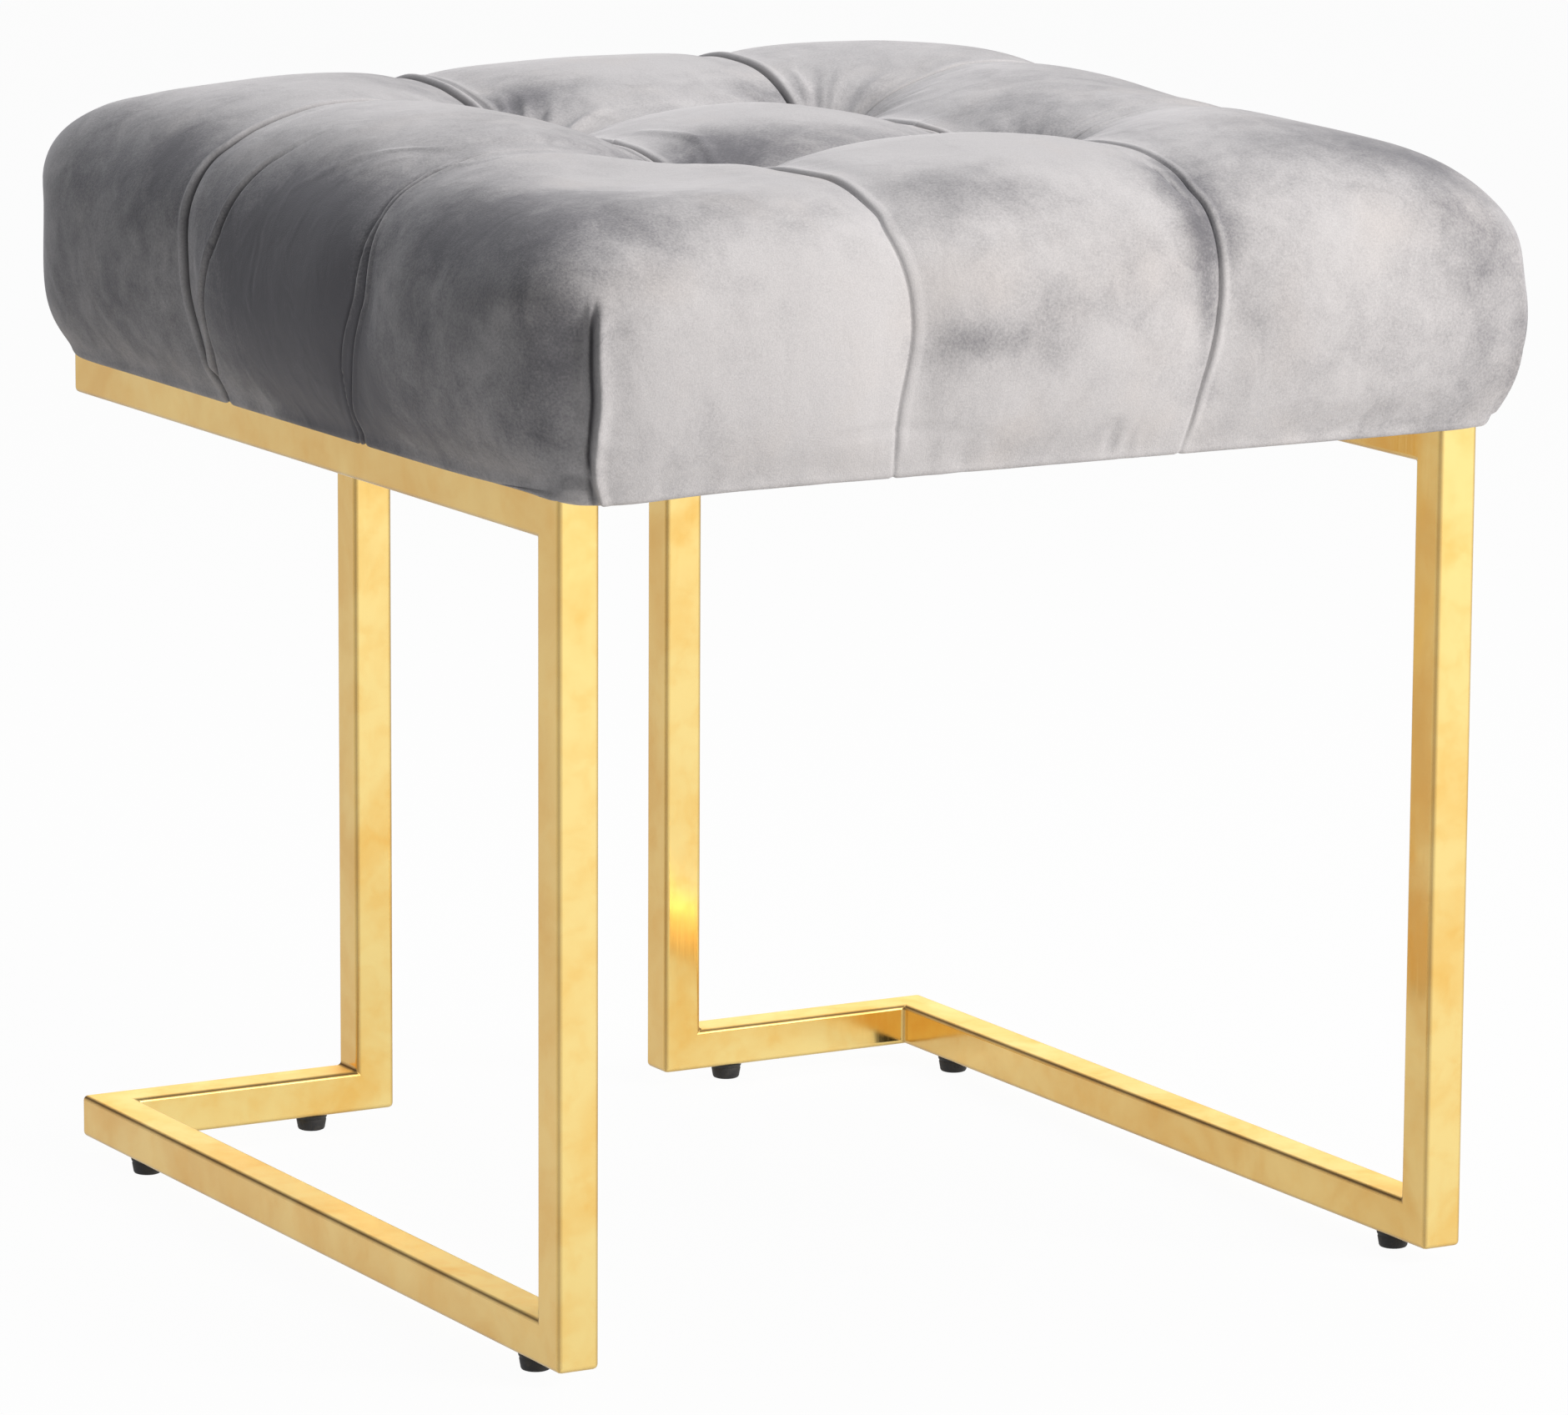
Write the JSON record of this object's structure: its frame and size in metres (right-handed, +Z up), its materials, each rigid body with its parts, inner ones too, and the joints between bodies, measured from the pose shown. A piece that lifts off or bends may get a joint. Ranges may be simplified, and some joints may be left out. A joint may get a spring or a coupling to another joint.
{
  "type": "tufted stool",
  "caption": "Square stool with a tufted velvet seat on two mirrored cantilever frames of polished square tube.",
  "frame": {"origin": "on the floor, under the middle of the stool's bounding box", "axes": "+Z up; -Y towards the front, where the two corner legs stand; +X to the right as seen from the front"},
  "size_m": [0.504, 0.538, 0.5282],
  "materials": {
    "frame_brass": "polished",
    "zinc_steel": "satin",
    "black_rubber": "matte",
    "plywood": "matte",
    "foam": "matte",
    "grey_velvet": "matte",
    "black_cloth": "matte",
    "twine": "matte"
  },
  "bodies": {
    "root": {"left_front_leg": "frame_brass", "left_floor_rail": "frame_brass", "left_return_rail": "frame_brass", "left_rear_leg": "frame_brass", "left_seat_rail": "frame_brass", "right_front_leg": "frame_brass", "right_floor_rail": "frame_brass", "right_return_rail": "frame_brass", "right_rear_leg": "frame_brass", "right_seat_rail": "frame_brass", "rear_seat_rail": "frame_brass", "seat_tab_front_left": "frame_brass", "seat_tab_front_right": "frame_brass", "seat_tab_rear_left": "frame_brass", "seat_tab_rear_right": "frame_brass", "foot_left_front": "black_rubber", "foot_left_rear": "black_rubber", "foot_left_return": "black_rubber", "foot_right_front": "black_rubber", "foot_right_rear": "black_rubber", "foot_right_return": "black_rubber", "foot_screw_left_front": "zinc_steel", "foot_screw_left_rear": "zinc_steel", "foot_screw_left_return": "zinc_steel", "foot_screw_right_front": "zinc_steel", "foot_screw_right_rear": "zinc_steel", "foot_screw_right_return": "zinc_steel", "seat_screw_front_left": "zinc_steel", "seat_screw_front_right": "zinc_steel", "seat_screw_rear_left": "zinc_steel", "seat_screw_rear_right": "zinc_steel", "tee_nut_front_left": "zinc_steel", "tee_nut_front_right": "zinc_steel", "tee_nut_rear_left": "zinc_steel", "tee_nut_rear_right": "zinc_steel", "seat_board": "plywood", "foam_block": "foam", "velvet_cover": "grey_velvet", "dust_cover": "black_cloth", "tuft_twine_front_left": "twine", "tuft_twine_front_right": "twine", "tuft_twine_rear_left": "twine", "tuft_twine_rear_right": "twine", "tuft_washer_front_left": "zinc_steel", "tuft_washer_front_right": "zinc_steel", "tuft_washer_rear_left": "zinc_steel", "tuft_washer_rear_right": "zinc_steel"}
  },
  "joints": []
}
